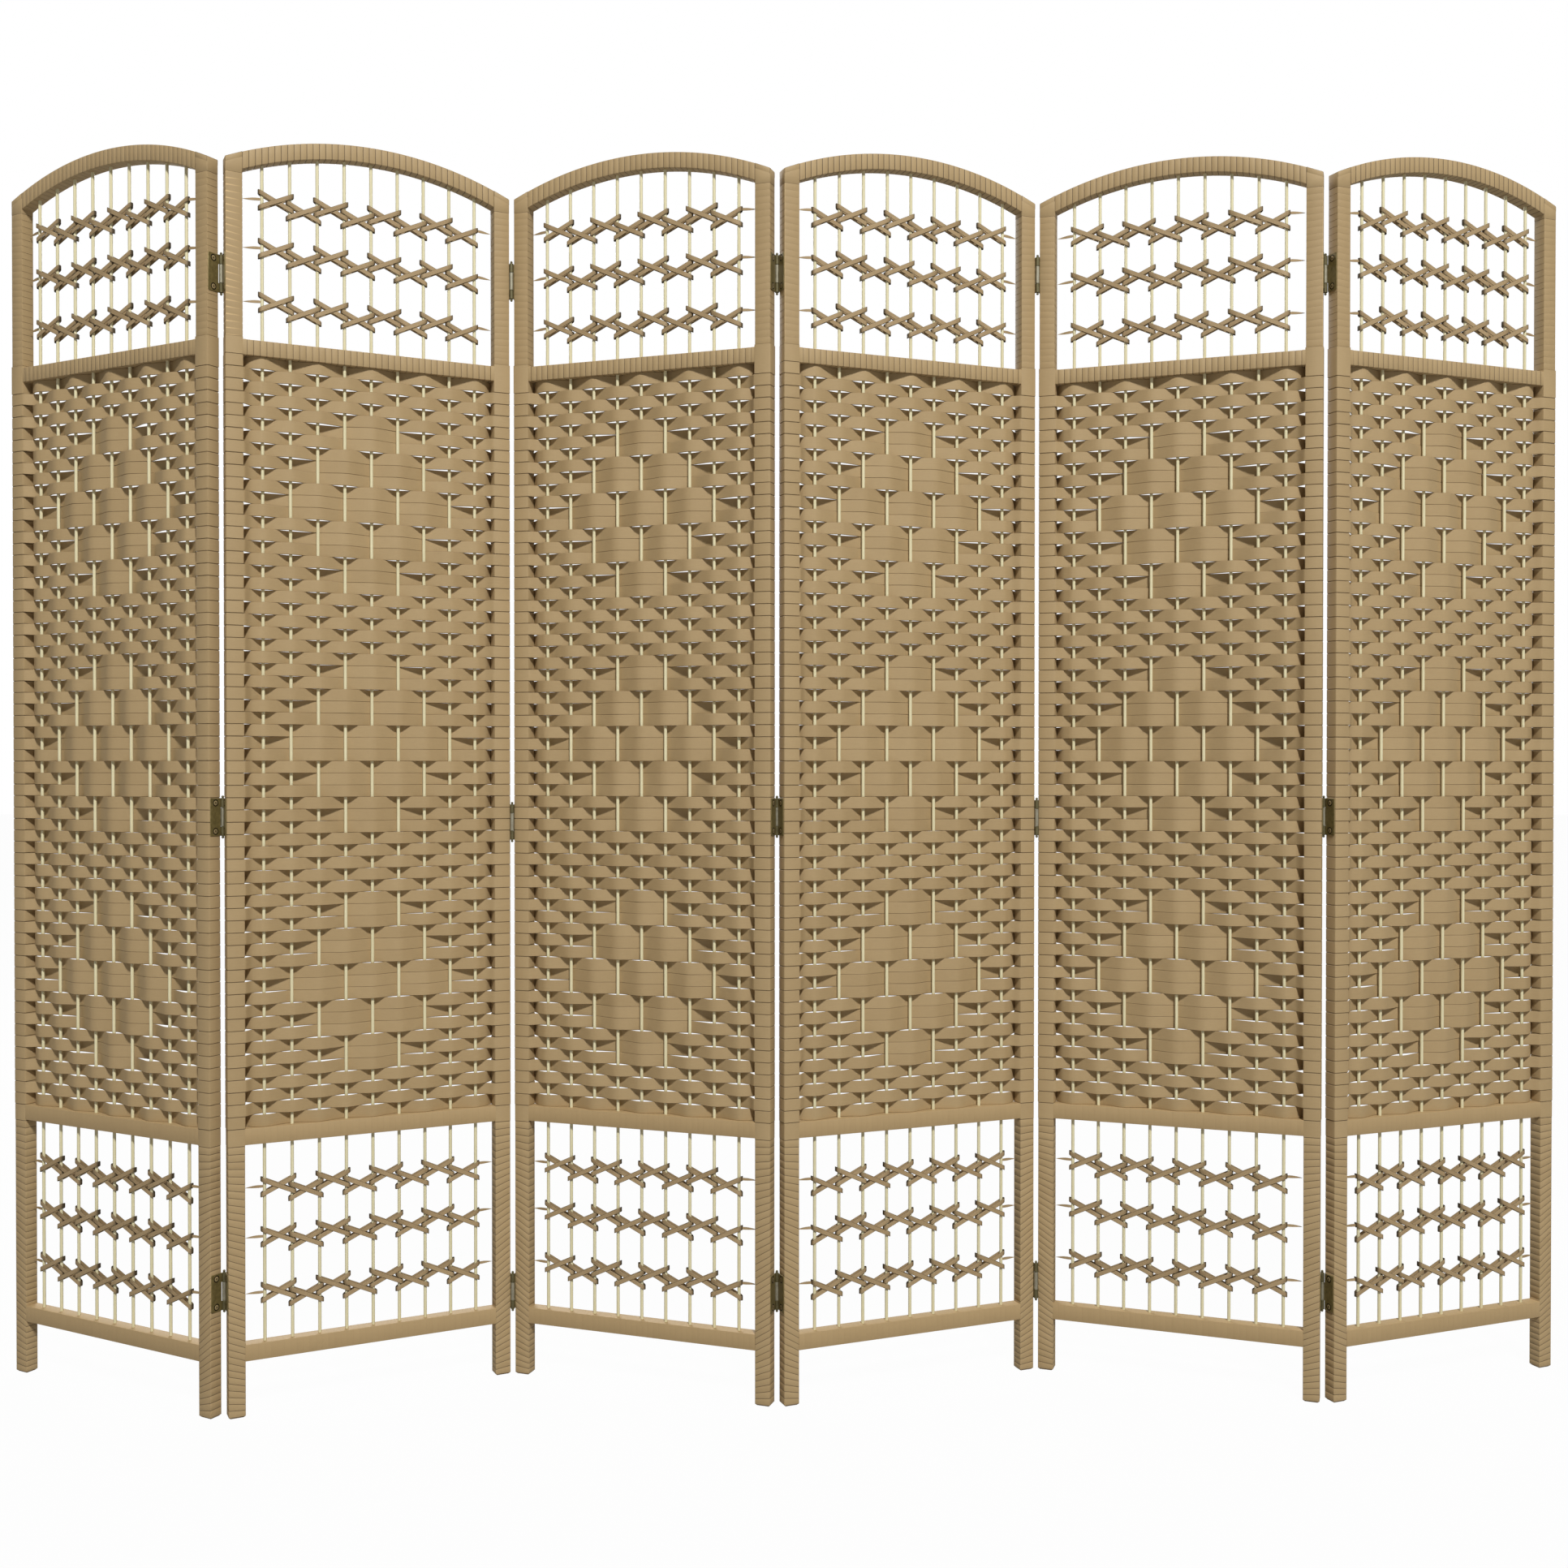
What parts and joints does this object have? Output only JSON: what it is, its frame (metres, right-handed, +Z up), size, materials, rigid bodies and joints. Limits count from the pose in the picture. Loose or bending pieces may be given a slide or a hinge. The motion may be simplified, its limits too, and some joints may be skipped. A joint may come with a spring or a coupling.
{
  "type": "folding room divider",
  "caption": "Free-standing folding room divider: arched wooden panels, fibre-wrapped, with a diamond strip weave between two barred windows, joined by butt hinges.",
  "frame": {"origin": "centre of the footprint of the screen as it stands folded in the picture, on the floor", "axes": "+X along the row of panels to the viewer's right, +Y away from the viewer through the screen, +Z up"},
  "size_m": [2.2856, 0.2276, 1.771],
  "materials": {
    "frame_wood": "bare softwood under the wrapping, end grain at the feet",
    "dowel_wood": "bare beech dowel, hidden",
    "rod_wood": "pale bare bamboo rod, satin",
    "wrap_band": "flat twisted fibre band, matte, fine grain along the band",
    "woven_strip": "wide flat woven fibre strip, matte with a faint sheen",
    "binding_strip": "narrow flat fibre strip, matte",
    "hinge_metal": "antique bronze, darkened, worn brighter on the middle knuckle",
    "screw_metal": "darkened brass screw with a cross recess"
  },
  "bodies": {
    "panel_1": {"panel_1_stiles": "frame_wood", "panel_1_rails": "frame_wood", "panel_1_dowels": "dowel_wood", "panel_1_wrapping": "wrap_band", "panel_1_rods": "rod_wood", "panel_1_weave": "woven_strip", "panel_1_bindings": "binding_strip", "panel_1_hinge_leaves": "hinge_metal", "panel_1_hinge_screws": "screw_metal", "hinge_pins_1_2": "hinge_metal"},
    "panel_2": {"panel_2_stiles": "frame_wood", "panel_2_rails": "frame_wood", "panel_2_dowels": "dowel_wood", "panel_2_wrapping": "wrap_band", "panel_2_rods": "rod_wood", "panel_2_weave": "woven_strip", "panel_2_bindings": "binding_strip", "panel_2_hinge_leaves": "hinge_metal", "panel_2_hinge_screws": "screw_metal", "hinge_pins_2_3": "hinge_metal"},
    "panel_3": {"panel_3_stiles": "frame_wood", "panel_3_rails": "frame_wood", "panel_3_dowels": "dowel_wood", "panel_3_wrapping": "wrap_band", "panel_3_rods": "rod_wood", "panel_3_weave": "woven_strip", "panel_3_bindings": "binding_strip", "panel_3_hinge_leaves": "hinge_metal", "panel_3_hinge_screws": "screw_metal", "hinge_pins_3_4": "hinge_metal"},
    "panel_4": {"panel_4_stiles": "frame_wood", "panel_4_rails": "frame_wood", "panel_4_dowels": "dowel_wood", "panel_4_wrapping": "wrap_band", "panel_4_rods": "rod_wood", "panel_4_weave": "woven_strip", "panel_4_bindings": "binding_strip", "panel_4_hinge_leaves": "hinge_metal", "panel_4_hinge_screws": "screw_metal", "hinge_pins_4_5": "hinge_metal"},
    "panel_5": {"panel_5_stiles": "frame_wood", "panel_5_rails": "frame_wood", "panel_5_dowels": "dowel_wood", "panel_5_wrapping": "wrap_band", "panel_5_rods": "rod_wood", "panel_5_weave": "woven_strip", "panel_5_bindings": "binding_strip", "panel_5_hinge_leaves": "hinge_metal", "panel_5_hinge_screws": "screw_metal", "hinge_pins_5_6": "hinge_metal"},
    "panel_6": {"panel_6_stiles": "frame_wood", "panel_6_rails": "frame_wood", "panel_6_dowels": "dowel_wood", "panel_6_wrapping": "wrap_band", "panel_6_rods": "rod_wood", "panel_6_weave": "woven_strip", "panel_6_bindings": "binding_strip", "panel_6_hinge_leaves": "hinge_metal", "panel_6_hinge_screws": "screw_metal"}
  },
  "joints": [
    {"name": "fold_2_3", "type": "hinge", "parent": "panel_3", "child": "panel_2", "pos_m": [-0.40393, 0.06383, 0.885], "axis": [0, 0, 1], "range_deg": [-46, 134]},
    {"name": "fold_1_2", "type": "hinge", "parent": "panel_2", "child": "panel_1", "pos_m": [-0.77717, -0.094, 0.885], "axis": [0, 0, -1], "range_deg": [-54.8, 125.2]},
    {"name": "fold_3_4", "type": "hinge", "parent": "panel_3", "child": "panel_4", "pos_m": [-0.01386, -0.04598, 0.885], "axis": [0, 0, 1], "range_deg": [-41.5, 138.5]},
    {"name": "fold_4_5", "type": "hinge", "parent": "panel_4", "child": "panel_5", "pos_m": [0.37061, 0.08208, 0.885], "axis": [0, 0, -1], "range_deg": [-42, 138]},
    {"name": "fold_5_6", "type": "hinge", "parent": "panel_5", "child": "panel_6", "pos_m": [0.75971, -0.03112, 0.885], "axis": [0, 0, 1], "range_deg": [-41.4, 138.6]}
  ]
}
